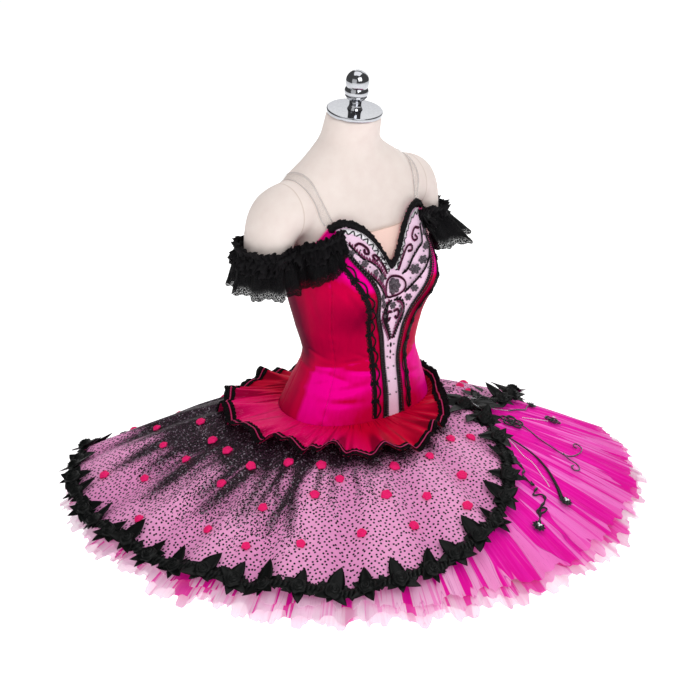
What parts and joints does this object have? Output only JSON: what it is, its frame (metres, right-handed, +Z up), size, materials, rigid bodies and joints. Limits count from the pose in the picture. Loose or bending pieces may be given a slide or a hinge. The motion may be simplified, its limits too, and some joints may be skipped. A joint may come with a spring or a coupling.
{
  "type": "ballet tutu on a dress form",
  "caption": "Ballet tutu with a panelled satin bodice, lace ruffles, a peplum and a drooping layered net skirt, standing on a limbless dress form.",
  "frame": {"origin": "centre of the dress form's flat underside", "axes": "+Z up, the wearer faces -Y, the wearer's right is -X"},
  "size_m": [1.104, 1.1023, 0.9637],
  "materials": {
    "form_jersey": "smooth cream jersey",
    "chrome": "polished",
    "satin": "glossy crimson-pink satin",
    "brocade": "pale pink satin under embroidery",
    "skin_net": "matt skin-coloured net",
    "clear_elastic": "translucent",
    "black_lace": "matt black lace",
    "spotted_organza": "pink organza with black flocked spots",
    "black_ribbon": "satin ribbon",
    "magenta_net": "stiff magenta net",
    "pale_net": "stiff pale pink net"
  },
  "bodies": {
    "root": {"basque": "satin", "bodice_back_left": "satin", "bodice_back_right": "satin", "bodice_center_front": "brocade", "bodice_side_front_left": "satin", "bodice_side_front_right": "satin", "bodice_side_left": "satin", "bodice_side_right": "satin", "form_shoulder_left": "form_jersey", "form_shoulder_right": "form_jersey", "form_torso": "form_jersey", "hem_garland": "black_ribbon", "neck_cap": "chrome", "neck_finial": "chrome", "neckline_braid": "black_lace", "neckline_insert": "skin_net", "net_lower": "pale_net", "net_upper": "magenta_net", "peplum": "satin", "skirt_overlay": "spotted_organza", "sleeve_ruffle_left": "black_lace", "sleeve_ruffle_right": "black_lace", "strap_left": "clear_elastic", "strap_right": "clear_elastic"}
  },
  "joints": []
}
